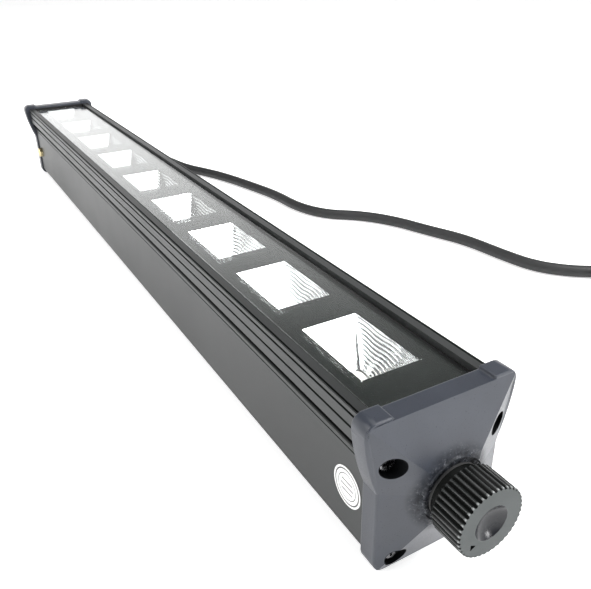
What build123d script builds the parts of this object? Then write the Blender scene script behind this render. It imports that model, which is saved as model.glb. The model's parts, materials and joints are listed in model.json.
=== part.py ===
from build123d import *
import math
import os

# LED strip batten: a nine-LED bar light in an aluminium extrusion, with two moulded end caps,
# two clamping knobs and a mains lead.  Millimetres.
# +X runs along the bar, +Z is up towards the window, +Y is the side that the lead leaves.
# The origin is the bottom centre of the bar.

# ---- driving dimensions -------------------------------------------------------------------
LENGTH = 470.0            # over the rims of both end caps
LED_COUNT = 9
LED_PITCH = 50.0
LED_SHIFT = -5.7          # the LED row sits nearer the lead's end
WINDOW_X = 34.2           # clear opening in the black mask, along the bar
WINDOW_Y = 21.4
CORD_D = 6.5

# housing section (Y, Z)
HEAD_HALF = 22.8
HEAD_TOP = 51.9
HEAD_BOTTOM = 41.9
WALL_HALF = 20.5
BODY_BOTTOM = 0.6
BODY_CORNER = 4.5
CHANNEL_BOTTOM = 36.5     # where the plain side wall ends and the side channel starts
LIP_INNER = 18.8          # inner face of the two lips beside the window
SEAT_Z = 47.2             # ledge that the window rests on
LED_BAY_HALF = 15.4
WEB_BOTTOM = 28.5
WEB_TOP = 31.0
BAY_HALF = 18.3           # driver bay
BAY_FLOOR = 2.6
SCORE_Z = 34.9            # thin scored line under the channel

# window
MASK_T = 0.3
GLASS_T = 3.2
GLASS_HALF = 18.0

# end caps
CAP_RIM = 6.8             # thickness of a cap at its edge
GASKET_T = 0.8
CAP_FOOT_HALF = 21.6
CAP_CORNER = 4.2
CAP_KINK_Z = 30.3         # the cap widens above this height to cover the head
EAR_HALF = 26.1
EAR_INNER = 17.4
EAR_LOW_Z = 49.6
EAR_TOP = 54.6
CAP_MID_TOP = 53.5
PYRAMID_H = 9.3           # height of the full pyramid on the cap's face
LAND_H = 5.9              # height at which it is cut flat
HUB_R = 10.5              # round hub that the knob clamps against
HUB_H = 6.1

# clamping knob
KNOB_Z = 27.1
KNOB_R = 11.15
KNOB_GAP = 3.8            # from the hub to the back of the grip
KNOB_LEN = 10.6
NECK_R = 8.8
WASHER_T = 0.8
RIB_COUNT = 40
RIB_NOTCH = 1.4           # side of the square cut, corner first, between two ribs
STUD_R = 3.0
STUD_LEN = 10.5
STUD_CLEARANCE = 0.05

# fasteners
PORT_R = 1.6
UPPER_PORT = (18.3, 39.6)
LOWER_PORT = (15.1, 5.2)
SCREW_R = 1.5
HEAD_R = 3.1
RECESS_R = 3.5

# LED board and reflectors
PAD_T = 0.5
BOARD_T = 1.6
BOARD_HALF = 13.0
BOARD_X = (-226.7, 214.0)
PACKAGE = 7.0
PACKAGE_T = 0.9
DOME_R = 2.7
REFLECTOR_WALL = 0.9

# driver
DRIVER_X = (-160.0, 30.0)
DRIVER_HALF = 16.0
DRIVER_Z = 9.0

# lead
LEAD_X = -183.6
LEAD_Z = 16.0
BUSH_SHANK_R = 5.0
BUSH_TIP_Y = 41.5
COIL_CENTRE = (195.0, 207.0)
COIL_R = 35.0             # middle of the turns
COIL_WIDTH = 3 * CORD_D
COIL_HEIGHT = 1.87 * CORD_D
PLUG_X = COIL_CENTRE[0] + COIL_R + 3.0
PLUG_BACK_Y = COIL_CENTRE[1] - 21.0
PLUG_Z = 10.5

# earth screw and label on the -Y side
EARTH_X = -221.7
EARTH_Z = 19.0
LABEL_X = 219.6
LABEL_Z = 20.4
LABEL_R = 6.8

RIM_X = LENGTH / 2
CAP_BACK_X = RIM_X - CAP_RIM
BODY_END_X = CAP_BACK_X - GASKET_T
HUB_X = RIM_X + HUB_H
MASK_TOP = SEAT_Z + MASK_T
GLASS_TOP = MASK_TOP + GLASS_T
BOARD_Z = WEB_TOP + PAD_T
BOARD_TOP = BOARD_Z + BOARD_T
DRIVER_TOP = DRIVER_Z + BOARD_T
REFLECTOR_TOP = SEAT_Z - 0.05
LED_X = [LED_SHIFT + LED_PITCH * (k - (LED_COUNT - 1) / 2) for k in range(LED_COUNT)]
BOARD_SCREW_X = [x + LED_PITCH / 2 for x in LED_X[:-1:2]]
BOARD_SCREW_Y = 10.0
WIRE_HOLE_X = 221.0
WIRE_HOLE_R = 4.0

# The lead's way from the bush to the coil: out of the side, down to the table, and along it
# in slow waves.  These are the corners of its path.
ON_TABLE = CORD_D / 2 + 0.05
LEAD_PATH = [
    (LEAD_X, BUSH_TIP_Y, LEAD_Z),
    (LEAD_X, 48.5, LEAD_Z),
    (-182.7, 55.3, 14.8),
    (-180.7, 61.6, 12.6),
    (-176.8, 68.7, 9.1),
    (-166, 80, ON_TABLE),
    (-145, 90, ON_TABLE),
    (-122, 98, ON_TABLE),
    (-96, 104, ON_TABLE),
    (-66, 110, ON_TABLE),
    (-37, 110.5, ON_TABLE),
    (-14, 119, ON_TABLE),
    (0, 137, ON_TABLE),
    (20, 150, ON_TABLE),
    (45, 158, ON_TABLE),
    (68, 167, ON_TABLE),
    (97, 169.5, ON_TABLE),
    (116.5, 173, ON_TABLE),
    (131, 184, ON_TABLE),
    (141.5, 199.5, ON_TABLE),
    (151.5, 216, ON_TABLE),
    (161, 230.8, ON_TABLE),
]


# ---- helpers ------------------------------------------------------------------------------
def rect(y0, y1, z0, z1):
    """Rectangle of a cross-section, between two heights."""
    return Pos((y0 + y1) / 2, (z0 + z1) / 2) * Rectangle(y1 - y0, z1 - z0)


def both_sides(sketch):
    """The sketch and its mirror image across the middle plane of the bar."""
    return sketch + mirror(sketch, about=Plane.YZ)


def along_bar(section, x0, x1):
    """Extrude a (Y, Z) section along the bar."""
    return extrude(Plane.YZ.offset(x0) * section, x1 - x0)


def brick(x0, x1, y0, y1, z0, z1):
    """Box between two corners."""
    middle = Pos((x0 + x1) / 2, (y0 + y1) / 2, (z0 + z1) / 2)
    return middle * Box(x1 - x0, y1 - y0, z1 - z0)


def rod(start, end, radius):
    """Cylinder between two points on one axis."""
    a = Vector(*start)
    b = Vector(*end)
    plane = Plane(origin=a, z_dir=b - a)
    return extrude(plane * Circle(radius), (b - a).length)


def cone(start, end, r0, r1):
    """Truncated cone between two points."""
    a = Vector(*start)
    b = Vector(*end)
    plane = Plane(origin=a, z_dir=b - a)
    top = Plane(origin=b, z_dir=b - a)
    return loft([plane * Circle(r0), top * Circle(r1)])


def hexagon(start, end, across_flats):
    """Hexagonal prism between two points."""
    a = Vector(*start)
    b = Vector(*end)
    plane = Plane(origin=a, z_dir=b - a)
    shape = RegularPolygon(across_flats / 2, 6, major_radius=False)
    return extrude(plane * shape, (b - a).length)


def cross_recess(head_point, inwards, depth=1.3, span=3.4):
    """Cutter for a cross-head recess."""
    plane = Plane(origin=Vector(*head_point) - Vector(*inwards) * 0.1, z_dir=Vector(*inwards))
    shape = Rectangle(span, 0.9) + Rectangle(0.9, span)
    return extrude(plane * shape, depth + 0.1, taper=8)


def pan_screw(seat, outwards, head_r, head_h, shank_r, shank_len):
    """Pan-head screw: seat is the point under its head."""
    s = Vector(*seat)
    d = Vector(*outwards)
    head = rod(s, s + d * head_h, head_r)
    rim = head.edges().filter_by(GeomType.CIRCLE).sort_by(lambda e: (e.center() - s).length)[-1]
    head = fillet(rim, head_h * 0.45)
    screw = head + rod(s + d * 0.1, s - d * shank_len, shank_r)
    return screw - cross_recess(s + d * head_h, -d)


def tube_path(points):
    """Straight runs joined by tangent arcs, each as large as its two runs allow."""
    corners = [Vector(*p) for p in points]
    radii = []
    for before, here, after in zip(corners, corners[1:], corners[2:]):
        turn = math.radians((here - before).get_angle(after - here))
        run = min((here - before).length, (after - here).length)
        radii.append(0.45 * run / math.tan(turn / 2))
    return FilletPolyline(*corners, radius=radii), radii


def wire(points, radius, bend):
    """Thin insulated wire with equal bends."""
    line = FilletPolyline(*[Vector(*p) for p in points], radius=bend)
    start = Plane(origin=line @ 0, z_dir=line % 0)
    return sweep(start * Circle(radius), path=line)


# ---- housing ------------------------------------------------------------------------------
def housing_outline():
    """Outer shape of the extrusion, without its grooves."""
    lower = rect(-WALL_HALF, WALL_HALF, BODY_BOTTOM, HEAD_TOP)
    lower = fillet(lower.vertices().sort_by(Axis.Y)[:2], BODY_CORNER)
    return lower + rect(-HEAD_HALF, HEAD_HALF, HEAD_BOTTOM, HEAD_TOP)


def side_channel():
    """Open screw channel under the head: round port and flared mouth."""
    mouth = Polygon(
        (UPPER_PORT[0], UPPER_PORT[1] - 1.3),
        (WALL_HALF, CHANNEL_BOTTOM),
        (HEAD_HALF + 1, CHANNEL_BOTTOM),
        (HEAD_HALF + 1, HEAD_BOTTOM),
        (HEAD_HALF, HEAD_BOTTOM),
        (UPPER_PORT[0], UPPER_PORT[1] + 1.3),
        align=None,
    )
    return mouth + Pos(*UPPER_PORT) * Circle(PORT_R)


def grooves():
    """Narrow decorative grooves of the head and the scored line on the side wall."""
    side = Sketch()
    for z in (45.9, 50.1):
        side += rect(HEAD_HALF - 1.2, HEAD_HALF + 1, z - 0.42, z + 0.42)
    side += rect(HEAD_HALF - 1.1, HEAD_HALF - 0.4, HEAD_TOP - 1.0, HEAD_TOP + 1)
    side += rect(WALL_HALF - 0.35, WALL_HALF + 1, SCORE_Z - 0.2, SCORE_Z + 0.2)
    return side


def housing_extrusion():
    """Aluminium extrusion with a driver bay below and an LED bay above a solid web."""
    bay = rect(-BAY_HALF, BAY_HALF, BAY_FLOOR, WEB_BOTTOM)
    bay = fillet(bay.vertices(), 2.0)
    led_bay = rect(-LED_BAY_HALF, LED_BAY_HALF, WEB_TOP, HEAD_TOP + 1)
    window_seat = rect(-LIP_INNER, LIP_INNER, SEAT_Z, HEAD_TOP + 1)
    section = housing_outline() - bay - led_bay - window_seat
    section -= both_sides(side_channel())
    section -= both_sides(grooves())
    section += both_sides(Pos(*LOWER_PORT) * Circle(2.9))
    section -= both_sides(Pos(*LOWER_PORT) * Circle(PORT_R))
    body = along_bar(section, -BODY_END_X, BODY_END_X)
    for x in BOARD_SCREW_X:
        for y in (-BOARD_SCREW_Y, BOARD_SCREW_Y):
            body -= rod((x, y, WEB_BOTTOM - 1), (x, y, WEB_TOP + 1), SCREW_R + 0.02)
    body -= rod((WIRE_HOLE_X, 0, WEB_BOTTOM - 1), (WIRE_HOLE_X, 0, WEB_TOP + 1), WIRE_HOLE_R)
    body -= rod((LEAD_X, BAY_HALF - 1, LEAD_Z), (LEAD_X, WALL_HALF + 1, LEAD_Z),
                BUSH_SHANK_R + 0.05)
    body -= rod((EARTH_X, -WALL_HALF - 1, EARTH_Z), (EARTH_X, 1 - BAY_HALF, EARTH_Z), 2.05)
    return body


# ---- window -------------------------------------------------------------------------------
def window_mask():
    """Black film under the glass with one clear opening for each LED."""
    film = brick(-BODY_END_X + 1, BODY_END_X - 1, -GLASS_HALF, GLASS_HALF, SEAT_Z, MASK_TOP)
    for x in LED_X:
        hole = RectangleRounded(WINDOW_X, WINDOW_Y, 0.3)
        film -= extrude(Pos(x, 0, SEAT_Z - 1) * hole, 2)
    return film


def window_glass():
    """Clear toughened glass with polished edges."""
    end = BODY_END_X - 1
    glass = brick(-end, end, -GLASS_HALF, GLASS_HALF, MASK_TOP, GLASS_TOP)
    return chamfer(glass.faces().sort_by(Axis.Z)[-1].edges(), 0.35)


def window_seal():
    """Silicone bead that fills the gap round the window."""
    outer = Rectangle(2 * BODY_END_X, 2 * LIP_INNER)
    inner = Rectangle(2 * BODY_END_X - 2, 2 * GLASS_HALF)
    return extrude(Pos(0, 0, SEAT_Z) * (outer - inner), GLASS_TOP - SEAT_Z - 1.0)


# ---- light engine -------------------------------------------------------------------------
def thermal_pad():
    pad = brick(*BOARD_X, -BOARD_HALF, BOARD_HALF, WEB_TOP, BOARD_Z)
    return pad - board_screw_holes(WEB_TOP, BOARD_Z)


def board_screw_holes(z0, z1):
    holes = Part()
    for x in BOARD_SCREW_X:
        for y in (-BOARD_SCREW_Y, BOARD_SCREW_Y):
            holes += rod((x, y, z0 - 1), (x, y, z1 + 1), SCREW_R + 0.1)
    return holes


def led_board():
    board = brick(*BOARD_X, -BOARD_HALF, BOARD_HALF, BOARD_Z, BOARD_TOP)
    return board - board_screw_holes(BOARD_Z, BOARD_TOP)


def board_screws():
    screws = []
    for x in BOARD_SCREW_X:
        for y in (-BOARD_SCREW_Y, BOARD_SCREW_Y):
            screws.append(pan_screw((x, y, BOARD_TOP), (0, 0, 1), 2.75, 2.0, SCREW_R, 4.4))
    return Compound(children=screws)


def led_package(x):
    """Ceramic base of one LED."""
    half = PACKAGE / 2
    base = brick(x - half, x + half, -half, half, BOARD_TOP, BOARD_TOP + PACKAGE_T)
    return chamfer(base.edges().filter_by(Axis.Z), 0.5)


def led_domes():
    """Silicone dome of each LED."""
    domes = []
    for x in LED_X:
        z = BOARD_TOP + PACKAGE_T
        ball = Pos(x, 0, z) * Sphere(DOME_R)
        domes.append(ball & brick(x - 5, x + 5, -5, 5, z, z + 5))
    return Compound(children=domes)


def reflector(x):
    """Metallised cup from the LED up to the mask, with a flange at its top."""
    def layer(length, width, z):
        return Pos(x, 0, z) * Rectangle(length, width)

    wall = 2 * REFLECTOR_WALL
    skirt_top = BOARD_TOP + 1.2
    throat = PACKAGE + 1.0
    mouth_x = WINDOW_X + 1.2
    mouth_y = WINDOW_Y + 1.2
    outside = loft([
        layer(throat + wall, throat + wall, skirt_top),
        layer(mouth_x + wall, mouth_y + wall, REFLECTOR_TOP),
    ], ruled=True)
    inside = loft([
        layer(throat, throat, skirt_top),
        layer(mouth_x, mouth_y, REFLECTOR_TOP),
    ], ruled=True)
    skirt = extrude(layer(throat + wall, throat + wall, BOARD_TOP), 1.2)
    bore = extrude(layer(throat, throat, BOARD_TOP), 1.2)
    flange = extrude(layer(mouth_x + 4, mouth_y + 4, REFLECTOR_TOP - 1), 1)
    return outside + flange + skirt - inside - bore


# ---- driver -------------------------------------------------------------------------------
STANDOFF_X = [DRIVER_X[0] + 6, DRIVER_X[0] + 115, DRIVER_X[1] - 6]
STANDOFF_Y = 8.5


def insulation_sheet():
    return brick(DRIVER_X[0] - 5, DRIVER_X[1] + 5, -11.6, 11.6, BAY_FLOOR, BAY_FLOOR + 0.4)


def standoff_points():
    return [(x, y) for x in STANDOFF_X for y in (-STANDOFF_Y, STANDOFF_Y)]


def driver_standoffs():
    posts = []
    for x, y in standoff_points():
        post = rod((x, y, BAY_FLOOR + 0.4), (x, y, DRIVER_Z), 2.6)
        posts.append(post - rod((x, y, 4), (x, y, DRIVER_Z + 1), SCREW_R + 0.05))
    return Compound(children=posts)


def driver_board():
    board = brick(*DRIVER_X, -DRIVER_HALF, DRIVER_HALF, DRIVER_Z, DRIVER_TOP)
    for x, y in standoff_points():
        board -= rod((x, y, DRIVER_Z - 1), (x, y, DRIVER_TOP + 1), SCREW_R + 0.1)
    return board


def driver_screws():
    return Compound(children=[
        pan_screw((x, y, DRIVER_TOP), (0, 0, 1), 2.6, 1.9, SCREW_R, 5.5)
        for x, y in standoff_points()
    ])


def transformer():
    """Ferrite core round a wound bobbin."""
    core = brick(-88, -64, -10, 10, DRIVER_TOP + 1, DRIVER_TOP + 16)
    core -= brick(-84, -80, -11, 11, DRIVER_TOP + 4, DRIVER_TOP + 13)
    core -= brick(-72, -68, -11, 11, DRIVER_TOP + 4, DRIVER_TOP + 13)
    bobbin = brick(-84, -68, -12, 12, DRIVER_TOP, DRIVER_TOP + 2)
    winding = brick(-84, -68, -11.5, 11.5, DRIVER_TOP + 4, DRIVER_TOP + 13)
    return core + bobbin + winding


def bulk_capacitor():
    """Electrolytic can lying on the board."""
    z = DRIVER_TOP + 6.3
    can = rod((-122, 7, z), (-96, 7, z), 6.25)
    can = fillet(can.edges().filter_by(GeomType.CIRCLE), 0.8)
    return can + brick(-118, -100, 5, 9, DRIVER_TOP, DRIVER_TOP + 1.5)


def filter_choke():
    """Ring core choke standing on a small base."""
    ring = Pos(-136, -2, DRIVER_TOP + 8.2) * Rot(0, 90, 0) * Torus(5.2, 2.6)
    return ring + brick(-140, -132, -6, 2, DRIVER_TOP, DRIVER_TOP + 1.5)


def terminal_blocks():
    """Inlet block at the lead's end of the board and outlet block at the other."""
    def block(x, half_width):
        body = brick(x - 4, x + 4, -half_width, half_width, DRIVER_TOP, DRIVER_TOP + 10)
        return chamfer(body.faces().sort_by(Axis.Z)[-1].edges().filter_by(Axis.Y), 2)

    return Compound(children=[block(-146, 7.5), block(16, 5.0)])


def mains_wires():
    """Live, neutral and earth from the bush to the inlet block and the earth nut."""
    inner_y = BAY_HALF - 5
    live_x = LEAD_X + 1.5
    neutral_x = LEAD_X - 1.5
    live = wire([(live_x, inner_y, 14.5), (live_x, 4, 14.5), (-150, 4, 14.5)], 0.9, 6)
    neutral = wire([(neutral_x, inner_y, 14.5), (neutral_x, -3, 14.5), (-150, -3, 14.5)], 0.9, 6)
    earth = wire([(LEAD_X, inner_y, 18), (LEAD_X, -9, 18), (-202, -16.8, 19), (-218, -16.8, 19)],
                 0.9, 1.6)
    return Compound(children=[live, neutral, earth])


def led_wires():
    """Pair from the outlet block, up through the web to the LED board."""
    z = DRIVER_TOP + 5
    pair = []
    for y in (-1.4, 1.4):
        route = [(20, y, z), (WIRE_HOLE_X, y, z), (WIRE_HOLE_X, y, 37), (210, y, 37),
                 (210, y, BOARD_TOP)]
        pair.append(wire(route, 0.8, 1.9))
    return Compound(children=pair)


# ---- end caps -----------------------------------------------------------------------------
def cap_outline():
    """Foot with rounded corners, flanks that bow out above the kink, and two raised ears."""
    foot = Line((0, 0), (CAP_FOOT_HALF, 0))
    wall = Line(foot @ 1, (CAP_FOOT_HALF, CAP_KINK_Z))
    flank = ThreePointArc(wall @ 1, (24.5, 40.0), (EAR_HALF, EAR_LOW_Z))
    ear = Polyline(flank @ 1, (EAR_HALF, EAR_TOP), (EAR_INNER, EAR_TOP),
                   (EAR_INNER, CAP_MID_TOP), (0, CAP_MID_TOP))
    half = make_face(foot + wall + flank + ear + Line(ear @ 1, (0, 0)))
    half = fillet(half.vertices().sort_by_distance((EAR_HALF, EAR_TOP))[0], 3.6)
    half = fillet(half.vertices().sort_by_distance((CAP_FOOT_HALF, 0))[0], CAP_CORNER)
    return both_sides(half)


def cap_pyramid():
    """Low pyramid on the cap's face: flat facets that rise from the rim towards the knob."""
    right = [(CAP_FOOT_HALF, 0), (CAP_FOOT_HALF, CAP_KINK_Z), (EAR_HALF - 0.7, CAP_MID_TOP)]
    left = [(-y, z) for y, z in reversed(right)]
    shrink = 1 - LAND_H / PYRAMID_H
    base = Polygon(*right, *left, align=None)
    top = Polygon(*[(y * shrink, KNOB_Z + (z - KNOB_Z) * shrink) for y, z in right + left],
                  align=None)
    frustum = loft([Plane.YZ.offset(RIM_X) * base, Plane.YZ.offset(RIM_X + LAND_H) * top],
                   ruled=True)
    return frustum & along_bar(cap_outline(), RIM_X, RIM_X + LAND_H)


def screw_points():
    """The four cap screws as (Y, Z)."""
    return [(s * y, z) for y, z in (UPPER_PORT, LOWER_PORT) for s in (-1, 1)]


SCREW_SEAT_X = RIM_X - 2.6


def near_end_cap():
    """Moulded cap: rim slab, pyramid face, hub, pocketed back and screw recesses."""
    slab = along_bar(cap_outline(), CAP_BACK_X, RIM_X)
    cap = slab + cap_pyramid()
    cap += rod((RIM_X - 1, 0, KNOB_Z), (HUB_X, 0, KNOB_Z), HUB_R)
    pocket = rect(-17.5, 17.5, 3.5, 46)
    for y, z in screw_points():
        pocket -= Pos(y, z) * Circle(RECESS_R + 1.7)
    pocket -= Pos(0, KNOB_Z) * Circle(7.5)
    cap -= along_bar(pocket, CAP_BACK_X - 1, CAP_BACK_X + 3.2)
    for y, z in screw_points():
        cap -= rod((SCREW_SEAT_X, y, z), (RIM_X + 9, y, z), RECESS_R)
        cap -= rod((CAP_BACK_X - 1, y, z), (RIM_X, y, z), SCREW_R + 0.15)
    cap -= rod((HUB_X - 10.9, 0, KNOB_Z), (HUB_X + 1, 0, KNOB_Z), 4.5)
    return cap


def near_insert():
    """Brass threaded bush moulded into the cap."""
    bush = rod((HUB_X - 10.9, 0, KNOB_Z), (HUB_X, 0, KNOB_Z), 4.5)
    return bush - rod((HUB_X - 12, 0, KNOB_Z), (HUB_X + 1, 0, KNOB_Z), STUD_R + STUD_CLEARANCE)


def near_gasket():
    """Flat gasket between the extrusion and the cap."""
    shape = housing_outline() - rect(-14, 14, 9, 36)
    for y, z in screw_points():
        shape -= Pos(y, z) * Circle(SCREW_R + 0.15)
    return along_bar(shape, BODY_END_X, CAP_BACK_X)


def near_cap_screws():
    screws = []
    for y, z in screw_points():
        screws.append(pan_screw((SCREW_SEAT_X, y, z), (1, 0, 0), HEAD_R, 2.3, SCREW_R, 13))
    return Compound(children=screws)


# ---- clamping knob ------------------------------------------------------------------------
NECK_X = HUB_X + WASHER_T
GRIP_X = HUB_X + KNOB_GAP
FACE_X = GRIP_X + KNOB_LEN


def near_knob():
    """Moulded grip with straight ribs, a smooth neck and a dished face."""
    grip = rod((GRIP_X, 0, KNOB_Z), (FACE_X, 0, KNOB_Z), KNOB_R)
    grip = chamfer(grip.edges().filter_by(GeomType.CIRCLE), 0.25)
    notch = Pos(KNOB_R + 0.2, 0) * Rot(0, 0, 45) * Rectangle(RIB_NOTCH, RIB_NOTCH)
    notches = Sketch() + [Rot(0, 0, 360 * k / RIB_COUNT) * notch for k in range(RIB_COUNT)]
    grip -= along_bar(Pos(0, KNOB_Z) * notches, GRIP_X - 1, FACE_X + 1)
    grip += rod((NECK_X, 0, KNOB_Z), (GRIP_X + 1, 0, KNOB_Z), NECK_R)
    dish_depth = 2.7
    dish_r = 5.6
    ball_r = (dish_r ** 2 + dish_depth ** 2) / (2 * dish_depth)
    grip -= Pos(FACE_X + ball_r - dish_depth, 0, KNOB_Z) * Sphere(ball_r)
    gate_mark = Pos(-5.9, KNOB_Z - 5.4) * RegularPolygon(1.2, 3)
    grip -= along_bar(gate_mark, FACE_X - 0.8, FACE_X + 1)
    return grip - rod((NECK_X - 1, 0, KNOB_Z), (NECK_X + 7, 0, KNOB_Z), STUD_R)


def near_knob_stud():
    """Steel stud moulded into the knob."""
    stud = rod((NECK_X + 7, 0, KNOB_Z), (HUB_X - STUD_LEN, 0, KNOB_Z), STUD_R)
    tip = stud.edges().filter_by(GeomType.CIRCLE).sort_by(Axis.X)[0]
    return chamfer(tip, 0.6)


def near_knob_washer():
    """Friction washer held on the stud behind the neck."""
    washer = rod((HUB_X, 0, KNOB_Z), (NECK_X, 0, KNOB_Z), NECK_R)
    return washer - rod((HUB_X - 1, 0, KNOB_Z), (NECK_X + 1, 0, KNOB_Z), STUD_R + STUD_CLEARANCE)


# ---- lead ---------------------------------------------------------------------------------
def cable_bush():
    """Strain relief: a flange on the wall, a threaded shank inside and a ribbed taper outside."""
    wall = WALL_HALF
    bush = rod((LEAD_X, wall, LEAD_Z), (LEAD_X, wall + 3, LEAD_Z), 8.0)
    bush = fillet(bush.edges().filter_by(GeomType.CIRCLE).sort_by(Axis.Y)[-1], 1.0)
    bush += cone((LEAD_X, wall + 3, LEAD_Z), (LEAD_X, BUSH_TIP_Y, LEAD_Z), 6.2, 4.3)
    for k in range(4):
        y = wall + 6.2 + 3.4 * k
        bush -= rod((LEAD_X, y, LEAD_Z), (LEAD_X, y + 1.2, LEAD_Z), 9) - rod(
            (LEAD_X, y - 1, LEAD_Z), (LEAD_X, y + 2, LEAD_Z), 4.2)
    shank = rod((LEAD_X, wall + 0.1, LEAD_Z), (LEAD_X, BAY_HALF - 5, LEAD_Z), BUSH_SHANK_R)
    return bush + shank


def bush_nut():
    """Nut that holds the bush from inside."""
    nut = hexagon((LEAD_X, BAY_HALF, LEAD_Z), (LEAD_X, BAY_HALF - 3.5, LEAD_Z), 13)
    bore = rod((LEAD_X, BAY_HALF + 1, LEAD_Z), (LEAD_X, BAY_HALF - 5, LEAD_Z),
               BUSH_SHANK_R + 0.02)
    return nut - bore


def cord_lead():
    """The lead from the bush to the coil."""
    line, radii = tube_path(LEAD_PATH)
    print("lead radii", [round(r, 1) for r in radii])
    section = Plane(origin=line @ 0, z_dir=line % 0) * Circle(CORD_D / 2)
    tube = sweep(section, path=line)
    expected = math.pi * (CORD_D / 2) ** 2 * line.length
    print("lead length", round(line.length, 1), "volume ratio", round(tube.volume / expected, 4))
    return tube


def cord_coil():
    """Outer shape of the stored turns, lying flat on the table."""
    turns = Pos(COIL_R, COIL_HEIGHT / 2) * RectangleRounded(COIL_WIDTH, COIL_HEIGHT, 2.5)
    ring = revolve(Plane.XZ * turns, Axis.Z)
    return Pos(*COIL_CENTRE, 0.05) * ring


PLUG_BOOT = 22.0
PLUG_BODY = 34.0


def plug_body():
    """Moulded mains plug lying beside the coil, with its own tapered boot."""
    def layer(y, width, height):
        corner = min(width, height) * 0.42
        plane = Plane(origin=(PLUG_X, y, PLUG_Z), x_dir=(1, 0, 0), z_dir=(0, -1, 0))
        return plane * RectangleRounded(width, height, corner)

    boot = cone((PLUG_X, PLUG_BACK_Y, PLUG_Z), (PLUG_X, PLUG_BACK_Y - PLUG_BOOT, PLUG_Z), 4.2, 6.2)
    y0 = PLUG_BACK_Y - PLUG_BOOT
    shoulder = loft([layer(y0, 13, 12.4), layer(y0 - 12, 24, 19)], ruled=True)
    front = extrude(layer(y0 - 12, 26, 20.6), PLUG_BODY - 12)
    return boot + shoulder + front


def plug_pins():
    """Two flat blades and a round earth pin."""
    y0 = PLUG_BACK_Y - PLUG_BOOT - PLUG_BODY
    blades = [
        brick(PLUG_X + s * 6.35 - 0.75, PLUG_X + s * 6.35 + 0.75, y0 - 15.5, y0,
              PLUG_Z - 0.8, PLUG_Z + 5.5)
        for s in (-1, 1)
    ]
    earth = rod((PLUG_X, y0, PLUG_Z - 5.2), (PLUG_X, y0 - 18, PLUG_Z - 5.2), 2.4)
    return Compound(children=blades + [earth])


# ---- small parts --------------------------------------------------------------------------
def round_label():
    """Blank round sticker on the side wall."""
    return rod((LABEL_X, -WALL_HALF, LABEL_Z), (LABEL_X, -WALL_HALF - 0.15, LABEL_Z), LABEL_R)


def earth_screw():
    """Brass earthing screw through the side wall."""
    return pan_screw((EARTH_X, -WALL_HALF, EARTH_Z), (0, -1, 0), 3.5, 2.6, 2.0, 6)


def earth_nut():
    nut = hexagon((EARTH_X, -BAY_HALF, EARTH_Z), (EARTH_X, 3 - BAY_HALF, EARTH_Z), 7)
    return nut - rod((EARTH_X, -BAY_HALF - 1, EARTH_Z), (EARTH_X, 4 - BAY_HALF, EARTH_Z), 2.02)


# ---- assembly -----------------------------------------------------------------------------
parts = {
    "housing_extrusion": housing_extrusion(),
    "window_glass": window_glass(),
    "window_mask": window_mask(),
    "window_seal": window_seal(),
    "thermal_pad": thermal_pad(),
    "led_board": led_board(),
    "board_screws": board_screws(),
    "led_domes": led_domes(),
    "insulation_sheet": insulation_sheet(),
    "driver_standoffs": driver_standoffs(),
    "driver_board": driver_board(),
    "driver_screws": driver_screws(),
    "transformer": transformer(),
    "bulk_capacitor": bulk_capacitor(),
    "filter_choke": filter_choke(),
    "terminal_blocks": terminal_blocks(),
    "mains_wires": mains_wires(),
    "led_wires": led_wires(),
    "cable_bush": cable_bush(),
    "bush_nut": bush_nut(),
    "cord_lead": cord_lead(),
    "cord_coil": cord_coil(),
    "plug_body": plug_body(),
    "plug_pins": plug_pins(),
    "round_label": round_label(),
    "earth_screw": earth_screw(),
    "earth_nut": earth_nut(),
}

for number, x in enumerate(LED_X, start=1):
    parts[f"led_package_{number}"] = led_package(x)
    parts[f"reflector_{number}"] = reflector(x)

for name, make in (
    ("end_cap", near_end_cap),
    ("gasket", near_gasket),
    ("cap_screws", near_cap_screws),
    ("insert", near_insert),
    ("knob", near_knob),
    ("knob_stud", near_knob_stud),
    ("knob_washer", near_knob_washer),
):
    piece = make()
    parts["near_" + name] = piece
    parts["far_" + name] = mirror(piece, about=Plane.YZ)

os.makedirs("parts", exist_ok=True)
for name, shape in parts.items():
    export_step(shape, f"parts/{name}.step")
print(len(parts), "nodes")
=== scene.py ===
import json
import math

import bmesh
import bpy
from mathutils import Matrix, Vector


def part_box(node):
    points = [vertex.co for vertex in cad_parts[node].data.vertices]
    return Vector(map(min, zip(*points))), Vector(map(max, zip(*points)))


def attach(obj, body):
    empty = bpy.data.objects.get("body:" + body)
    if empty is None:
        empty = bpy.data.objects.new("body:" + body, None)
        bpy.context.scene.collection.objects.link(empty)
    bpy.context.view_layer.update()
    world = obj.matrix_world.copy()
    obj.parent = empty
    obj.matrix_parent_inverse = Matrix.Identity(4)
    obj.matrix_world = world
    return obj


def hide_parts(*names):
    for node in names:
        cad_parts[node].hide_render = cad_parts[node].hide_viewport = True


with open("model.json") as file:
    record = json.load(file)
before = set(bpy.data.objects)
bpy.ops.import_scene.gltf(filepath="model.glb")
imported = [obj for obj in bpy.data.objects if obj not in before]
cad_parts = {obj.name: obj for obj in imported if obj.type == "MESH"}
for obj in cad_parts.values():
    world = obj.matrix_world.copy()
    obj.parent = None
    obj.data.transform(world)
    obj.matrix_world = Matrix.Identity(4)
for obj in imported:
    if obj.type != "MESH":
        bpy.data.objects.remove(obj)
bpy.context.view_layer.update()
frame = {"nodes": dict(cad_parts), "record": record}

MM = 0.001
NODES = frame["nodes"]


# ---- camera ----------------------------------------------------------------------------------
CAMERA_PLACE = (0.33994, -0.10438, 0.15893)
AZIMUTH = math.radians(29.38)
ELEVATION = math.radians(27.27)
ROLL = -0.0183
LENS = 40.43
SENSOR = 36
NEAREST = 0.01


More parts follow.
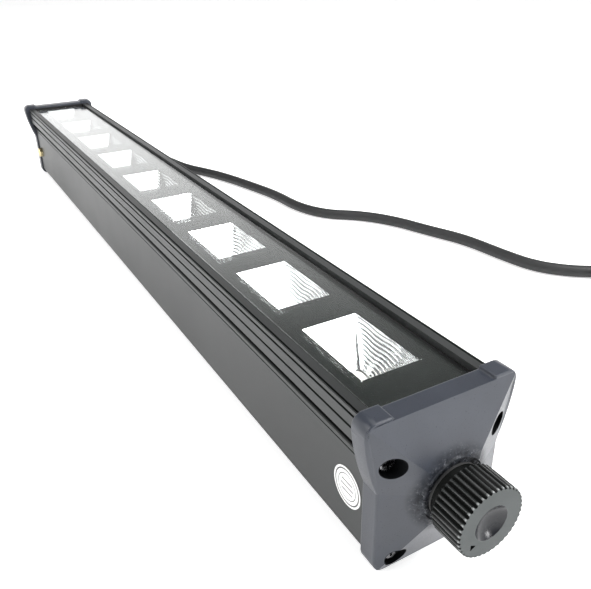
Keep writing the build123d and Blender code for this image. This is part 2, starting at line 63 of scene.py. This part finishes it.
def in_scene(obj):
    """The object, once it is linked into the scene."""
    bpy.context.scene.collection.objects.link(obj)
    return obj


def make_camera():
    """Close to the near end, above it and on the label's side, looking along the bar."""
    ahead = Vector((
        -math.cos(ELEVATION) * math.cos(AZIMUTH),
        math.cos(ELEVATION) * math.sin(AZIMUTH),
        -math.sin(ELEVATION),
    ))
    right = ahead.cross(Vector((0, 0, 1))).normalized()
    up = right.cross(ahead)
    right, up = (
        math.cos(ROLL) * right + math.sin(ROLL) * up,
        math.cos(ROLL) * up - math.sin(ROLL) * right,
    )
    data = bpy.data.cameras.new("camera")
    data.lens = LENS
    data.sensor_width = SENSOR
    data.clip_start = NEAREST
    camera = in_scene(bpy.data.objects.new("camera", data))
    turn = Matrix((right, up, -ahead)).transposed().to_4x4()
    camera.matrix_world = Matrix.Translation(CAMERA_PLACE) @ turn
    bpy.context.scene.camera = camera


make_camera()


# ---- lead ------------------------------------------------------------------------------------
WELD = 0.001 * MM              # points closer than this become one
CORD_D = 6.5 * MM
LEAD_X = -0.1836
BUSH_TIP_Y = 0.0415
LEAD_Z = 0.016
ON_TABLE = CORD_D / 2 + 0.05 * MM
LEAD_PATH = [
    (LEAD_X, BUSH_TIP_Y, LEAD_Z),
    (LEAD_X, 0.0485, LEAD_Z),
    (-0.1827, 0.0553, 0.0148),
    (-0.1807, 0.0616, 0.0126),
    (-0.1768, 0.0687, 0.0091),
    (-0.166, 0.080, ON_TABLE),
    (-0.145, 0.090, ON_TABLE),
    (-0.122, 0.098, ON_TABLE),
    (-0.096, 0.104, ON_TABLE),
    (-0.066, 0.110, ON_TABLE),
    (-0.037, 0.1105, ON_TABLE),
    (-0.014, 0.119, ON_TABLE),
    (0.000, 0.137, ON_TABLE),
    (0.020, 0.150, ON_TABLE),
    (0.045, 0.158, ON_TABLE),
    (0.068, 0.167, ON_TABLE),
    (0.097, 0.1695, ON_TABLE),
    (0.1165, 0.173, ON_TABLE),
    (0.131, 0.184, ON_TABLE),
    (0.1415, 0.1995, ON_TABLE),
    (0.1515, 0.216, ON_TABLE),
]
COIL_CENTRE = (0.195, 0.207)
ENTRY_ANGLE = 145.0            # where the lead joins the outermost turn
TURN_POINTS = 20
TURNS = 4.4028                 # ends level with the coil's centre, heading for the plug
TURN_GAP = 1.015 * CORD_D
OUTER_TURN = 41.8 * MM
INNER_TURN = OUTER_TURN - 2 * TURN_GAP
NESTED = ON_TABLE + 0.88 * CORD_D      # height of a turn that lies between two lower ones
STACKED = ON_TABLE + 1.03 * CORD_D     # height of a turn that crosses straight over another
# Three turns lie side by side on the table, each a step further in.  The fourth climbs on top
# of them, and the fifth lies outside it.  Each key is (turns wound, radius, height).
COIL_KEYS = [
    (0.00, OUTER_TURN, ON_TABLE),
    (0.83, OUTER_TURN, ON_TABLE),
    (1.00, OUTER_TURN - TURN_GAP, ON_TABLE),
    (1.83, OUTER_TURN - TURN_GAP, ON_TABLE),
    (2.00, INNER_TURN, ON_TABLE),
    (2.62, INNER_TURN, ON_TABLE),
    (2.81, INNER_TURN, STACKED),
    (3.00, INNER_TURN + 0.5 * TURN_GAP, STACKED),
    (3.12, INNER_TURN + 0.5 * TURN_GAP, NESTED),
    (3.62, INNER_TURN + 0.5 * TURN_GAP, NESTED),
    (3.66, INNER_TURN + 0.6 * TURN_GAP, STACKED),
    (3.81, INNER_TURN + 1.5 * TURN_GAP, STACKED),
    (4.02, INNER_TURN + 1.5 * TURN_GAP, STACKED),
    (4.14, INNER_TURN + 1.5 * TURN_GAP, NESTED),
    (4.60, INNER_TURN + 1.5 * TURN_GAP, NESTED),
]


def coil_points():
    """The stored turns, wound clockwise seen from above."""
    points = []
    count = int(TURNS * TURN_POINTS)
    for step in range(count + 1):
        wound = TURNS * step / count
        before, after = next(
            pair for pair in zip(COIL_KEYS, COIL_KEYS[1:]) if wound <= pair[1][0]
        )
        share = (wound - before[0]) / (after[0] - before[0])
        share = share * share * (3 - 2 * share)
        radius = before[1] + share * (after[1] - before[1])
        height = before[2] + share * (after[2] - before[2])
        angle = math.radians(ENTRY_ANGLE - 360 * wound)
        points.append((
            COIL_CENTRE[0] + radius * math.cos(angle),
            COIL_CENTRE[1] + radius * math.sin(angle),
            height,
        ))
    return points


def smooth_cord(name, points):
    """Round flex along one smooth spline through the route, and the line that it follows."""
    curve = bpy.data.curves.new(name + "_route", "CURVE")
    curve.dimensions = "3D"
    spline = curve.splines.new("NURBS")
    spline.points.add(len(points) - 1)
    for point, place in zip(spline.points, points):
        point.co = (*place, 1)
    spline.order_u = 3
    spline.use_endpoint_u = True
    spline.resolution_u = 8
    route = bpy.data.objects.new(name + "_route", curve)
    line = [vert.co.copy() for vert in bpy.data.meshes.new_from_object(route).vertices]
    curve.bevel_depth = CORD_D / 2
    curve.bevel_resolution = 6
    curve.use_fill_caps = True
    mesh = bpy.data.meshes.new_from_object(route)
    mesh.name = name
    shape = bmesh.new()
    shape.from_mesh(mesh)
    bmesh.ops.remove_doubles(shape, verts=shape.verts, dist=WELD)
    bmesh.ops.recalc_face_normals(shape, faces=shape.faces)
    for face in shape.faces:
        face.smooth = len(face.verts) == 4
    shape.to_mesh(mesh)
    shape.free()
    bpy.data.objects.remove(route)
    bpy.data.curves.remove(curve)
    return in_scene(bpy.data.objects.new(name, mesh)), line


TAIL = [(0.2332, 0.200, 0.0096), (0.233, 0.193, 0.0103), (0.233, 0.186, 0.0105)]
mains_lead, lead_line = smooth_cord("mains_lead", LEAD_PATH + coil_points() + TAIL)
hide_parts("cord_lead", "cord_coil")
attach(mains_lead, "root")


# ---- node helpers ----------------------------------------------------------------------------
class Finish:
    """A material being built: one Principled shader and the nodes that feed it."""

    def __init__(self, name, **sockets):
        self.material = bpy.data.materials.new(name)
        self.material.use_nodes = True
        self.tree = self.material.node_tree
        self.shader = self.tree.nodes["Principled BSDF"]
        for socket, value in sockets.items():
            self.shader.inputs[socket.replace("_", " ")].default_value = value
        self.where = self.tree.nodes.new("ShaderNodeTexCoord").outputs["Object"]

    def node(self, kind, **settings):
        """A new node of this kind with these settings."""
        made = self.tree.nodes.new(kind)
        for key, value in settings.items():
            setattr(made, key, value)
        return made

    def link(self, a, b):
        self.tree.links.new(a, b)

    def surface(self, source):
        self.link(source, self.tree.nodes["Material Output"].inputs["Surface"])

    def stretched(self, scale):
        """Object coordinates scaled by axis."""
        mapping = self.node("ShaderNodeMapping")
        mapping.inputs["Scale"].default_value = scale
        self.link(self.where, mapping.inputs["Vector"])
        return mapping.outputs["Vector"]

    def noise(self, scale, detail=2.0, stretch=None, roughness=0.5):
        """Cloudy noise over the piece, stretched by axis where asked."""
        made = self.node("ShaderNodeTexNoise")
        made.inputs["Scale"].default_value = scale
        made.inputs["Detail"].default_value = detail
        made.inputs["Roughness"].default_value = roughness
        source = self.stretched(stretch) if stretch else self.where
        self.link(source, made.inputs["Vector"])
        return made.outputs["Fac"]

    def ramp(self, source, *stops):
        """Colour ramp with (position, colour) stops."""
        made = self.node("ShaderNodeValToRGB")
        elements = made.color_ramp.elements
        while len(elements) < len(stops):
            elements.new(0.5)
        for element, (place, colour) in zip(elements, stops):
            element.position = place
            element.color = (*colour, 1)
        self.link(source, made.inputs["Fac"])
        return made.outputs["Color"]

    def spread(self, source, low, high, start=0.3, end=0.7):
        """Number that runs from low to high as the source runs from start to end."""
        made = self.node("ShaderNodeMapRange")
        for socket, value in zip(("From Min", "From Max", "To Min", "To Max"),
                                 (start, end, low, high)):
            made.inputs[socket].default_value = value
        self.link(source, made.inputs["Value"])
        return made.outputs["Result"]

    def maths(self, operation, *values):
        """One math node; each value is a number or another node's output."""
        made = self.node("ShaderNodeMath", operation=operation)
        for socket, value in zip(made.inputs, values):
            if isinstance(value, (int, float)):
                socket.default_value = value
            else:
                self.link(value, socket)
        return made.outputs["Value"]

    def along(self, axis):
        """The object coordinate on one axis."""
        made = self.node("ShaderNodeSeparateXYZ")
        self.link(self.where, made.inputs["Vector"])
        return made.outputs[axis]

    def distance(self, centre, axes):
        """Distance from the centre, counting only the axes marked 1."""
        apart = self.node("ShaderNodeVectorMath", operation="SUBTRACT")
        self.link(self.where, apart.inputs[0])
        apart.inputs[1].default_value = centre
        flat = self.node("ShaderNodeVectorMath", operation="MULTIPLY")
        self.link(apart.outputs["Vector"], flat.inputs[0])
        flat.inputs[1].default_value = axes
        length = self.node("ShaderNodeVectorMath", operation="LENGTH")
        self.link(flat.outputs["Vector"], length.inputs[0])
        return length.outputs["Value"]

    def blend(self, share, a, b):
        """Colour a where the share is 0, b where it is 1; each is a colour or an output."""
        made = self.node("ShaderNodeMix", data_type="RGBA")
        self.link(share, made.inputs[0])
        for socket, value in zip((made.inputs[6], made.inputs[7]), (a, b)):
            if isinstance(value, tuple):
                socket.default_value = (*value, 1)
            else:
                self.link(value, socket)
        return made.outputs[2]

    def colour(self, source):
        self.link(source, self.shader.inputs["Base Color"])

    def rough(self, source):
        self.link(source, self.shader.inputs["Roughness"])

    def gloss(self, source):
        self.link(source, self.shader.inputs["Specular IOR Level"])

    def bumps(self, *layers):
        """Bump from (height, strength, distance) layers, one on top of another."""
        normal = None
        for height, strength, distance in layers:
            made = self.node("ShaderNodeBump")
            made.inputs["Strength"].default_value = strength
            made.inputs["Distance"].default_value = distance
            self.link(height, made.inputs["Height"])
            if normal:
                self.link(normal, made.inputs["Normal"])
            normal = made.outputs["Normal"]
        self.link(normal, self.shader.inputs["Normal"])


def dress(obj, finish):
    """Give a piece its finish."""
    obj.data.materials.clear()
    obj.data.materials.append(finish)


# ---- finishes --------------------------------------------------------------------------------
PLAIN_GLOSS = 0.5
CHANNEL_Z = 39.2 * MM
CHANNEL_HALF = 2.8 * MM
WALL_HALF = 20.5 * MM


def anodised_finish():
    """Bead-blasted dark anodising with faint die lines, and painted shade down in the side
    channels.
    """
    made = Finish("anodised_aluminium", Metallic=0.3, Roughness=0.4)
    lines = made.noise(500, 2, stretch=(0.01, 1, 1))
    grain = made.noise(5200, 2)
    cloud = made.noise(16, 3)
    metal = made.ramp(cloud, (0.3, (0.020, 0.022, 0.022)), (0.7, (0.028, 0.030, 0.030)))
    # Painted shade: inside the side channels the colour is painted near black, with less gloss and
    # less metal, for the shade there.
    level = made.maths("COMPARE", made.along("Z"), CHANNEL_Z, CHANNEL_HALF)
    within = made.spread(made.maths("ABSOLUTE", made.along("Y")), 1.0, 0.0,
                         WALL_HALF - 0.5 * MM, WALL_HALF - 0.1 * MM)
    painted_shade = made.maths("MULTIPLY", level, within)
    made.colour(made.blend(painted_shade, metal, (0.002, 0.002, 0.002)))
    made.gloss(made.maths("MULTIPLY_ADD", painted_shade, -0.47, PLAIN_GLOSS))
    made.link(made.maths("MULTIPLY_ADD", painted_shade, -0.3, 0.3), made.shader.inputs["Metallic"])
    made.rough(made.spread(cloud, 0.36, 0.44))
    made.bumps((grain, 0.10, 0.00004), (lines, 0.05, 0.00005))
    return made.material


KNOB_AXIS = (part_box("near_knob")[0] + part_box("near_knob")[1]) / 2
KNOB_FACE_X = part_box("near_knob")[1].x
KNOB_R = 11.15 * MM
DISH_R = 5.6 * MM
HUB_EDGE = 10.5 * MM
RECESS_R = 3.6 * MM
RECESSES = [(side * y * MM, z * MM) for side in (-1, 1) for y, z in ((15.1, 5.2), (18.3, 39.6))]


def cap_finish():
    """Satin glass-filled moulding, with painted shade in its screw recesses and around the knob's
    hub.
    """
    made = Finish("cap_plastic", Roughness=0.34)
    grain = made.noise(2600, 3, roughness=0.6)
    mottle = made.noise(70, 4)
    base = made.ramp(mottle, (0.3, (0.021, 0.0245, 0.034)), (0.72, (0.031, 0.036, 0.048)))
    # Painted shade around the knob's hub, where the knob's shadow falls, broken into patches by
    # noise.
    off_axis = made.distance(KNOB_AXIS, (0, 1, 1))
    close = made.spread(off_axis, 1.0, 0.0, HUB_EDGE - 1 * MM, HUB_EDGE + 4.5 * MM)
    patches = made.spread(made.noise(420, 5, roughness=0.7), 0.55, 1.0, 0.40, 0.58)
    specks = made.spread(made.noise(900, 5, roughness=0.75), 0.0, 1.0, 0.56, 0.70)
    painted_shade = made.maths("MULTIPLY", close, patches)
    dust = made.maths("MULTIPLY", close, specks)
    # Painted shade inside the four screw recesses, out to their walls' radius.
    for y, z in RECESSES:
        off_screw = made.distance((0, y, z), (0, 1, 1))
        inside = made.spread(off_screw, 1.0, 0.0, RECESS_R, RECESS_R * 1.02)
        painted_shade = made.maths("MAXIMUM", painted_shade, inside)
    # Where the painted shade lies, the colour is near black, with less gloss and more roughness.
    darker = made.blend(painted_shade, base, (0.004, 0.0045, 0.005))
    made.colour(made.blend(dust, darker, (0.17, 0.18, 0.20)))
    made.gloss(made.maths("SUBTRACT", PLAIN_GLOSS, made.maths("MULTIPLY", painted_shade, 0.45)))
    satin = made.spread(grain, 0.27, 0.37)
    made.rough(made.maths("ADD", satin, made.maths("MULTIPLY", painted_shade, 0.35)))
    made.bumps((grain, 0.14, 0.00008))
    return made.material


def knob_finish():
    """Black grip with painted light on its rib crests and painted glints at their ends, a matt
    face painted grey for the light it catches, and a polished dish.
    """
    made = Finish("knob_plastic", Roughness=0.3)
    reach = made.maths("ABSOLUTE", made.along("X"))
    off_axis = made.distance(KNOB_AXIS, (0, 1, 1))
    face = made.spread(reach, 0.0, 1.0, KNOB_FACE_X - 0.06 * MM, KNOB_FACE_X - 0.02 * MM)
    rim = made.spread(reach, 0.0, 1.0, KNOB_FACE_X - 0.9 * MM, KNOB_FACE_X - 0.3 * MM)
    crest = made.spread(off_axis, 0.0, 1.0, KNOB_R - 0.35 * MM, KNOB_R - 0.05 * MM)
    dish = made.spread(off_axis, 1.0, 0.0, DISH_R - 0.05 * MM, DISH_R + 0.05 * MM)
    grain = made.noise(2600, 3)
    mottle = made.noise(90, 3)
    black = made.ramp(mottle, (0.3, (0.004, 0.0045, 0.0045)), (0.7, (0.007, 0.0075, 0.007)))
    # Painted light: the rib crests are painted lighter than the black valleys, for the light they
    # catch.
    painted_crest_light = made.blend(crest, black, (0.020, 0.023, 0.022))
    # Painted glints at the rib ends next to the face.
    painted_rib_end_glints = made.blend(made.maths("MULTIPLY", crest, rim), painted_crest_light, (0.26, 0.27, 0.27))
    sides = made.blend(dish, painted_rib_end_glints, (0.007, 0.008, 0.011))
    # Painted light: the face is the same black plastic, painted grey for the light that falls on
    # it.
    lit_face_grey = made.ramp(mottle, (0.3, (0.062, 0.068, 0.068)), (0.7, (0.074, 0.080, 0.080)))
    on_crests = made.spread(crest, 0.08, PLAIN_GLOSS, 0.0, 1.0)
    made.gloss(made.maths("MAXIMUM", on_crests, made.maths("MULTIPLY", dish, 0.45)))
    made.colour(made.blend(face, sides, lit_face_grey))
    satin = made.spread(grain, 0.20, 0.28)
    made.rough(made.maths("ADD", satin, made.maths("MULTIPLY", face, 0.28)))
    made.bumps((grain, 0.10, 0.00006))
    return made.material


def mask_finish():
    """Smooth black print on the underside of the glass."""
    made = Finish("black_mask", Roughness=0.22)
    cloud = made.noise(22, 3)
    made.colour(made.ramp(cloud, (0.3, (0.0070, 0.0088, 0.0080)), (0.7, (0.0095, 0.0112, 0.0104))))
    made.rough(made.spread(cloud, 0.18, 0.28))
    return made.material


def moulded_finish(name, dark, light, roughness):
    """Spark-textured moulding with slight mottling."""
    made = Finish(name, Roughness=roughness)
    grain = made.noise(3400, 3, roughness=0.6)
    mottle = made.noise(70, 4)
    made.colour(made.ramp(mottle, (0.3, dark), (0.72, light)))
    made.rough(made.spread(grain, roughness - 0.08, roughness + 0.1))
    made.bumps((grain, 0.3, 0.00012))
    return made.material


def metal_finish(name, base, roughness):
    """Plated or turned metal with fine tool marks."""
    made = Finish(name, Metallic=1.0, Roughness=roughness)
    marks = made.noise(2600, 3)
    tarnish = made.noise(240, 3)
    darker = tuple(0.72 * c for c in base)
    made.colour(made.ramp(tarnish, (0.3, darker), (0.7, base)))
    made.rough(made.spread(marks, roughness - 0.06, roughness + 0.14))
    made.bumps((marks, 0.12, 0.00005))
    return made.material


def glass_finish():
    """Clear window that lamps reach through."""
    made = Finish("clear_glass", Roughness=0.0, IOR=1.5, Transmission_Weight=1.0,
                  Base_Color=(0.97, 0.985, 0.98, 1))
    haze = made.noise(60, 3)
    made.rough(made.spread(haze, 0.0, 0.02))
    path = made.node("ShaderNodeLightPath")
    clear = made.node("ShaderNodeBsdfTransparent")
    mix = made.node("ShaderNodeMixShader")
    made.link(path.outputs["Is Shadow Ray"], mix.inputs[0])
    made.link(made.shader.outputs[0], mix.inputs[1])
    made.link(clear.outputs[0], mix.inputs[2])
    made.surface(mix.outputs[0])
    return made.material


def reflector_finish():
    """Vacuum-metallised plastic."""
    made = Finish("metallised_plastic", Metallic=1.0, Roughness=0.06)
    ripple = made.noise(160, 2)
    made.colour(made.ramp(ripple, (0.3, (0.90, 0.905, 0.91)), (0.7, (0.96, 0.965, 0.97))))
    made.rough(made.spread(ripple, 0.03, 0.09))
    made.bumps((ripple, 0.25, 0.0003))
    return made.material


def flex_finish():
    """Matt rubber sheath with a fine drag along it."""
    made = Finish("cord_rubber", Roughness=0.55)
    grain = made.noise(2400, 3)
    scuff = made.noise(90, 4)
    made.colour(made.ramp(scuff, (0.35, (0.010, 0.0105, 0.011)), (0.75, (0.018, 0.0185, 0.019))))
    made.rough(made.spread(scuff, 0.46, 0.66))
    made.bumps((grain, 0.25, 0.0001))
    return made.material


PRINTED_RINGS = ((5.9 * MM, 0.24 * MM), (4.4 * MM, 0.14 * MM))     # radius, half width
PRINTED_LINES = (-1.8 * MM, 0.0, 1.8 * MM)
LINE_REACH = 3.3 * MM
LINE_HALF = 0.22 * MM


def label_finish():
    """White sticker with two thin printed rings and three blank lines to write on."""
    made = Finish("white_label", Roughness=0.45)
    low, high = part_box("round_label")
    centre = (low + high) / 2
    radius = made.distance(centre, (1, 0, 1))
    inside = made.maths("COMPARE", radius, 0.0, LINE_REACH)
    ink = made.maths("ADD", *(made.maths("COMPARE", radius, *ring) for ring in PRINTED_RINGS))
    for offset in PRINTED_LINES:
        line = made.maths("COMPARE", made.along("Z"), centre.z + offset, LINE_HALF)
        ink = made.maths("ADD", ink, made.maths("MULTIPLY", line, inside))
    made.colour(made.ramp(ink, (0.4, (0.80, 0.80, 0.79)), (0.6, (0.05, 0.05, 0.05))))
    made.bumps((made.noise(1800, 2), 0.1, 0.00004))
    return made.material


# dark colour, light colour, roughness
MOULDED = {
    "black_silicone": ((0.002,) * 3, (0.004,) * 3, 0.8),
    "thermal_pad": ((0.3, 0.34, 0.4), (0.36, 0.4, 0.47), 0.7),
    "white_board": ((0.78, 0.78, 0.75), (0.85, 0.85, 0.83), 0.4),
    "led_silicone": ((0.86, 0.84, 0.74), (0.93, 0.92, 0.86), 0.2),
    "white_ceramic": ((0.8, 0.8, 0.78), (0.88, 0.88, 0.86), 0.45),
    "insulation_film": ((0.7, 0.7, 0.62), (0.78, 0.78, 0.7), 0.4),
    "white_nylon": ((0.7, 0.7, 0.66), (0.8, 0.8, 0.76), 0.5),
    "green_board": ((0.02, 0.14, 0.06), (0.03, 0.2, 0.09), 0.35),
    "ferrite": ((0.03, 0.03, 0.032), (0.06, 0.06, 0.063), 0.55),
    "capacitor_sleeve": ((0.015, 0.015, 0.05), (0.03, 0.03, 0.08), 0.25),
    "green_plastic": ((0.04, 0.24, 0.09), (0.06, 0.3, 0.12), 0.45),
    "wire_insulation": ((0.4, 0.05, 0.03), (0.5, 0.07, 0.05), 0.4),
    "washer_rubber": ((0.02,) * 3, (0.03,) * 3, 0.6),
    "bush_rubber": ((0.02,) * 3, (0.032,) * 3, 0.6),
    "black_nylon": ((0.025,) * 3, (0.035,) * 3, 0.45),
    "plug_plastic": ((0.02,) * 3, (0.032,) * 3, 0.42),
}
# colour, roughness
METALS = {
    "zinc_steel": ((0.62, 0.63, 0.65), 0.32),
    "brass": ((0.80, 0.68, 0.40), 0.28),
    "black_steel": ((0.22, 0.22, 0.23), 0.2),
    "plug_metal": ((0.82, 0.72, 0.46), 0.25),
}
FINISHES = {
    "anodised_aluminium": anodised_finish(),
    "clear_glass": glass_finish(),
    "black_mask": mask_finish(),
    "metallised_plastic": reflector_finish(),
    "cap_plastic": cap_finish(),
    "knob_plastic": knob_finish(),
    "cord_rubber": flex_finish(),
    "white_label": label_finish(),
}
for name, values in MOULDED.items():
    FINISHES[name] = moulded_finish(name, *values)
for name, values in METALS.items():
    FINISHES[name] = metal_finish(name, *values)
for entry in frame["record"]["subparts"]:
    dress(NODES[entry["node"]], FINISHES[entry["material_slot"]])
dress(mains_lead, FINISHES["cord_rubber"])


# ---- pieces that replace a CAD node ----------------------------------------------------------
FLAT = math.radians(1.0)       # faces that bend less than this join into one
SHARP_REACH = 4.5 * MM         # how far from a screw's axis a cap's edges stay sharp


def softened(node, width, slot, segments=2, angle=28, sharp_around=()):
    """The node's own shape with its sharp edges rounded, as a die or a mould leaves them.

    Edges near the axes in sharp_around, (y, z) lines along the bar, stay sharp.
    """
    mesh = NODES[node].data.copy()
    piece = in_scene(bpy.data.objects.new(node + "_body", mesh))
    shape = bmesh.new()
    shape.from_mesh(mesh)
    bmesh.ops.remove_doubles(shape, verts=shape.verts, dist=2 * WELD)
    bmesh.ops.dissolve_limit(shape, angle_limit=FLAT, verts=shape.verts, edges=shape.edges)
    weight = shape.edges.layers.float.new("bevel_weight_edge")
    for edge in shape.edges:
        middle = (edge.verts[0].co + edge.verts[1].co) / 2
        clear = all(
            math.hypot(middle.y - y, middle.z - z) > SHARP_REACH for y, z in sharp_around
        )
        if clear and edge.calc_face_angle(0.0) > math.radians(angle):
            edge[weight] = 1.0
    shape.to_mesh(mesh)
    shape.free()
    rounding = piece.modifiers.new("rounding", "BEVEL")
    rounding.width = width
    rounding.segments = segments
    rounding.limit_method = "WEIGHT"
    rounding.use_clamp_overlap = not sharp_around
    dress(piece, FINISHES[slot])
    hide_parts(node)
    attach(piece, "root")
    return piece


softened("housing_extrusion", 0.14 * MM, "anodised_aluminium")
for side in ("near", "far"):
    softened(side + "_end_cap", 0.6 * MM, "cap_plastic", segments=3, angle=42,
             sharp_around=RECESSES)

# The glass rests on its print with a hair of air between them, so that they don't share a face.
AIR = 0.1 * MM
glass = softened("window_glass", 0.25 * MM, "clear_glass")
glass_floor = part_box("window_glass")[0].z
for vert in glass.data.vertices:
    vert.co.z = max(vert.co.z, glass_floor + AIR)


# ---- reflectors ------------------------------------------------------------------------------
THROAT_HALF = 4.0 * MM
THROAT = Vector((THROAT_HALF, THROAT_HALF))
MOUTH = Vector((17.7 * MM, 11.3 * MM))
SKIRT = 1.2 * MM
CUP_ROWS = 66
WALL_CELLS = 28
STEPS = 11
SIDE_STEP = 0.34 * MM
END_STEP = 0.05 * MM
WAVES = 2
WAVE = 0.020                   # how far a step wanders up and down its wall, as a share of it
CUP_WALL = 0.5 * MM


def flared_cup(throat_z, height):
    """Open square throat that widens row by row to the mouth, centred on the Z axis."""
    shape = bmesh.new()
    bmesh.ops.create_grid(shape, x_segments=1, y_segments=1, size=THROAT_HALF)
    bmesh.ops.delete(shape, geom=list(shape.faces), context="FACES_ONLY")
    bmesh.ops.subdivide_edges(shape, edges=list(shape.edges), cuts=WALL_CELLS - 1)
    bmesh.ops.translate(shape, verts=shape.verts, vec=(0, 0, throat_z))
    rim = list(shape.edges)
    half = THROAT
    for row in range(1, CUP_ROWS + 1):
        wider = THROAT.lerp(MOUTH, row / CUP_ROWS)
        grown = bmesh.ops.extrude_edge_only(shape, edges=rim)["geom"]
        rim = [g for g in grown if isinstance(g, bmesh.types.BMEdge)]
        ring = [g for g in grown if isinstance(g, bmesh.types.BMVert)]
        bmesh.ops.scale(shape, verts=ring, vec=(wider.x / half.x, wider.y / half.y, 1))
        bmesh.ops.translate(shape, verts=ring, vec=(0, 0, height / CUP_ROWS))
        half = wider
    return shape


def press_steps(shape, throat_z, height, shift):
    """Wavy steps around the four walls, deep on the long sides and faint at the ends."""
    for vert in shape.verts:
        share = (vert.co.z - throat_z) / height
        wall = THROAT.lerp(MOUTH, share)
        u = vert.co.x / wall.x
        v = vert.co.y / wall.y
        long_side = abs(v) > abs(u)
        along = u if long_side else v
        level = share + WAVE * math.sin(WAVES * math.pi * along + shift)
        fade = math.sin(math.pi * share) * math.cos(0.5 * math.pi * along)
        press = (SIDE_STEP if long_side else END_STEP) * abs(math.sin(math.pi * STEPS * level))
        press *= max(0.0, fade) ** 0.25
        if long_side:
            vert.co.y += math.copysign(press, v)
        else:
            vert.co.x += math.copysign(press, u)


def stepped_reflector(number):
    """Metallised cup around one LED."""
    node = f"reflector_{number}"
    low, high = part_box(node)
    middle = (low + high) / 2
    throat_z = low.z + SKIRT
    height = high.z - throat_z
    shape = flared_cup(throat_z, height)
    press_steps(shape, throat_z, height, number)
    bmesh.ops.translate(shape, verts=shape.verts, vec=(middle.x, middle.y, 0))
    bmesh.ops.recalc_face_normals(shape, faces=shape.faces)
    bmesh.ops.solidify(shape, geom=list(shape.faces), thickness=CUP_WALL)
    bmesh.ops.recalc_face_normals(shape, faces=shape.faces)
    for face in shape.faces:
        face.smooth = True
    mesh = bpy.data.meshes.new(f"stepped_reflector_{number}")
    shape.to_mesh(mesh)
    shape.free()
    piece = in_scene(bpy.data.objects.new(f"stepped_reflector_{number}", mesh))
    dress(piece, FINISHES["metallised_plastic"])
    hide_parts(node)
    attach(piece, "root")


LED_COUNT = 9
for number in range(1, LED_COUNT + 1):
    stepped_reflector(number)


# ---- floor and light -------------------------------------------------------------------------
FLOOR_HALF = 6.0
FLOOR_GLOW = 0.55
HORIZON = 1.7                  # brightness of the room near the horizon
CEILING = 0.08                 # and overhead
FADE = (0.15, 0.60)            # sines of the elevations between which one turns into the other


def make_floor():
    """Pale light table."""
    mesh = bpy.data.meshes.new("floor")
    shape = bmesh.new()
    bmesh.ops.create_grid(shape, x_segments=1, y_segments=1, size=FLOOR_HALF)
    shape.to_mesh(mesh)
    shape.free()
    floor = in_scene(bpy.data.objects.new("floor", mesh))
    made = Finish("pale_floor", Roughness=0.7, Emission_Color=(1, 1, 1, 1),
                  Emission_Strength=FLOOR_GLOW)
    made.colour(made.ramp(made.noise(3, 2), (0.3, (0.90, 0.90, 0.90)), (0.7, (0.92, 0.92, 0.92))))
    dress(floor, made.material)


def soft_lamp(name, place, target, size, watts):
    """Rectangular soft box aimed at its target."""
    data = bpy.data.lights.new(name, "AREA")
    data.shape = "RECTANGLE"
    data.size, data.size_y = size
    data.energy = watts
    lamp = in_scene(bpy.data.objects.new(name, data))
    lamp.location = place
    lamp.rotation_euler = (Vector(target) - Vector(place)).to_track_quat("-Z", "Y").to_euler()


def make_studio():
    """A room that is bright near the horizon and dim overhead."""
    world = bpy.data.worlds.new("studio")
    bpy.context.scene.world = world
    world.use_nodes = True
    tree = world.node_tree
    ahead = tree.nodes.new("ShaderNodeTexCoord").outputs["Generated"]
    apart = tree.nodes.new("ShaderNodeSeparateXYZ")
    tree.links.new(ahead, apart.inputs["Vector"])
    height = tree.nodes.new("ShaderNodeMapRange")
    height.interpolation_type = "SMOOTHSTEP"
    for socket, value in zip(("From Min", "From Max", "To Min", "To Max"),
                             (*FADE, HORIZON, CEILING)):
        height.inputs[socket].default_value = value
    tree.links.new(apart.outputs["Z"], height.inputs["Value"])
    tree.links.new(height.outputs["Result"], tree.nodes["Background"].inputs["Strength"])
    tree.nodes["Background"].inputs["Color"].default_value = (1, 1, 1, 1)


make_floor()
make_studio()
soft_lamp("key", (0.75, 0.70, 1.25), (0, 0, 0), (0.8, 0.8), 23)
soft_lamp("fill", (-0.1, -1.1, 1.1), (0, 0, 0), (1.2, 0.8), 11)
soft_lamp("side", (1.2, 0.6, 0.5), (0.25, 0, 0.03), (0.3, 0.3), 5)
soft_lamp("panel", (0.05, 0.32, 1.35), (0.05, 0.32, 0), (1.3, 0.9), 9)
bpy.context.scene.view_settings.view_transform = "Standard"
